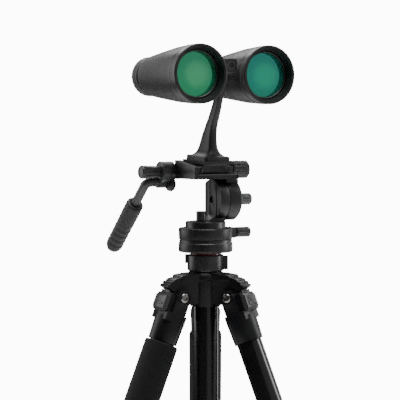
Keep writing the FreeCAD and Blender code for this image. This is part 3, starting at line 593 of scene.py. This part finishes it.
def hexagon(angle, distance):
    """How far the wall of a bolt's round socket is pushed out to make it a hexagon."""
    if distance not in (SOCKET_FLOOR, BOLT_FACE):
        return 0.0
    corner = math.radians(math.degrees(angle) % 60 - 30)
    return SOCKET_RADIUS / math.cos(corner) - SOCKET_RADIUS


def ribs(angle, distance):
    """How far a twist lock's wall stands out at its ribs or in at their grooves."""
    return RIB_HEIGHT * math.cos(angle * RIB_COUNT) if RIB_START < distance < RIB_END else 0.0


def dress_bolts():
    grid = bmesh.new()
    for number in LEGS:
        hinge = joint("leg_%d_fold" % number)
        axis = Vector(hinge["axis"])
        for way in (-1, 1):
            base = Vector(hinge["pos_m"]) + axis * way * BOLT_REACH * MM
            lathe_into(grid, BOLT_HEAD, along(base, axis * way), 48, wave=hexagon)
    make_piece("hinge_bolt_heads", grid, MATERIALS["bolt_steel"], "crown", ("leg_hinge_bolts",))


def dress_leg(number):
    name = "leg_%d" % number
    hinge = Vector(joint(name + "_fold")["pos_m"])
    down = Vector(joint(name + "_extend")["axis"])
    lathe(name + "_tube_finished", rounded(TUBE, 0.3, 2), hinge, down, "gloss_tube", name,
          (name + "_upper_tube",), closed=True)
    if number in SLEEVED_LEGS:
        sleeve = lathe(name + "_foam", rounded(SLEEVE, 0.8, 3), hinge, down, "foam", name,
                       (name + "_foam_sleeve",), closed=True)
    lathe(name + "_lock_skin", rounded(LOCK, 0.5, 3), hinge, down, "lock_rubber", name + "_lock",
          (name + "_twist_lock",), segments=192, closed=True, wave=ribs)


# ------------------------------------------------------------------ softened castings
# width of the rounded edges in millimetres
SOFTENED = {
    "crown_casting": 0.7, "column_collar": 0.3, "pan_base": 0.4, "pan_body": 0.4, "clamp_platform": 0.4,
    "clamp_jaw": 0.3, "clamp_knob": 0.3, "pan_lock_knob": 0.25, "tilt_knob": 0.2, "tension_knob": 0.3,
    "quick_release_plate": 0.3, "handle_arm": 0.5, "handle_knob": 0.3,
    "adapter_screw": 0.2, "adapter_pad": 0.25, "focus_wheel": 0.25, "dioptre_ring": 0.2,
}
YOKE_EDGE = 0.5
TAB_EDGE = 0.9
# rim and depth of the sunk front faces, in millimetres
PANELS = {"quick_release_plate": (1.5, 1.8), "clamp_platform": (0.9, 0.7)}


def soften_castings():
    for node, width in SOFTENED.items():
        softened(node, width, panel=PANELS.get(node))
    for number in LEGS:
        softened("leg_%d_yoke" % number, YOKE_EDGE)
        softened("leg_%d_angle_tab" % number, TAB_EDGE)


# ------------------------------------------------------------------ camera, light and floor
# strength of the light from all round, and of the white that only the camera sees
AMBIENT = 0.05
SWEEP = 15.0
# degrees and metres
CAMERA_AZIMUTH = -28.6
CAMERA_ELEVATION = 2.7
CAMERA_DISTANCE = 1.44
LENS_MM = 140.7
AIM_OVER_CROWN = 70 * MM
AIM_TO_THE_LEFT = 5.1 * MM
# azimuth and elevation in degrees, distance, width and height in metres, and power in watts
SOFTBOXES = {
    "top_box": (-20, 80, 1.2, 0.9, 0.9, 36),
    "left_box": (-132, 14, 1.2, 0.9, 1.2, 6),
    "right_box": (70, 18, 1.2, 0.4, 1.3, 8),
    "front_card": (28, -4, 1.5, 2.8, 2.8, 7.5),
    "rim_right": (112, 8, 1.5, 0.4, 1.4, 3),
    "rim_top": (151, 46, 1.4, 1.4, 0.7, 11),
    "floor_bounce": (-28, -65, 0.9, 0.9, 0.9, 4),
}
FLOOR_RADIUS = 1.3
FLOOR_CORNERS = 360


def outward(azimuth, elevation):
    """The direction out from the aim point; azimuth 0 is in front, along -Y."""
    turn = math.radians(azimuth)
    rise = math.radians(elevation)
    return Vector((math.sin(turn) * math.cos(rise), -math.cos(turn) * math.cos(rise), math.sin(rise)))


def place_facing(item, aim, back, distance):
    """Link a camera or a lamp so that it looks at the aim point from the direction called back."""
    item.location = aim + back * distance
    item.rotation_euler = (-back).to_track_quat("-Z", "Y").to_euler()
    bpy.context.collection.objects.link(item)


def place_camera():
    azimuth = math.radians(CAMERA_AZIMUTH)
    right = Vector((math.cos(azimuth), math.sin(azimuth), 0))
    aim = Vector((0, 0, CROWN_TOP + AIM_OVER_CROWN)) - right * AIM_TO_THE_LEFT
    data = bpy.data.cameras.new("camera")
    data.lens = LENS_MM
    data.sensor_width = 36
    data.clip_start = 0.05
    camera = bpy.data.objects.new("camera", data)
    place_facing(camera, aim, outward(CAMERA_AZIMUTH, CAMERA_ELEVATION), CAMERA_DISTANCE)
    bpy.context.scene.camera = camera
    return aim


def area_light(name, aim, azimuth, elevation, distance, width, height, power):
    data = bpy.data.lights.new(name, "AREA")
    data.shape = "RECTANGLE"
    data.size = width
    data.size_y = height
    data.energy = power
    lamp = bpy.data.objects.new(name, data)
    place_facing(lamp, aim, outward(azimuth, elevation), distance)


def light_studio(aim):
    """White behind everything for the camera alone, dim light from all round, and softboxes."""
    world = bpy.data.worlds.new("studio")
    world.use_nodes = True
    tree = world.node_tree
    dim = tree.nodes["Background"]
    dim.inputs["Color"].default_value = (1, 1, 1, 1)
    dim.inputs["Strength"].default_value = AMBIENT
    white = tree.nodes.new("ShaderNodeBackground")
    white.inputs["Strength"].default_value = SWEEP
    path = tree.nodes.new("ShaderNodeLightPath")
    mix = tree.nodes.new("ShaderNodeMixShader")
    tree.links.new(path.outputs["Is Camera Ray"], mix.inputs["Fac"])
    tree.links.new(dim.outputs["Background"], mix.inputs[1])
    tree.links.new(white.outputs["Background"], mix.inputs[2])
    tree.links.new(mix.outputs["Shader"], tree.nodes["World Output"].inputs["Surface"])
    bpy.context.scene.world = world
    for name, setting in SOFTBOXES.items():
        area_light(name, aim, *setting)


def lay_floor():
    angles = [2 * math.pi * turn / FLOOR_CORNERS for turn in range(FLOOR_CORNERS)]
    rim = [(FLOOR_RADIUS * math.cos(angle), FLOOR_RADIUS * math.sin(angle), 0) for angle in angles]
    mesh = bpy.data.meshes.new("floor")
    mesh.from_pydata(rim, [], [tuple(range(FLOOR_CORNERS))])
    floor = bpy.data.objects.new("floor", mesh)
    bpy.context.collection.objects.link(floor)
    shader = Shader("pale_floor", (0.9, 0.9, 0.9), 0.9)
    shader.tint(shader.noise(3), 0.02)
    mesh.materials.append(shader.material)


dress_cad_nodes()
for barrel_side in SIDES:
    dress_barrel(barrel_side)
dress_stem()
dress_head()
dress_grip()
dress_bolts()
for leg_number in LEGS:
    dress_leg(leg_number)
soften_castings()
light_studio(place_camera())
lay_floor()
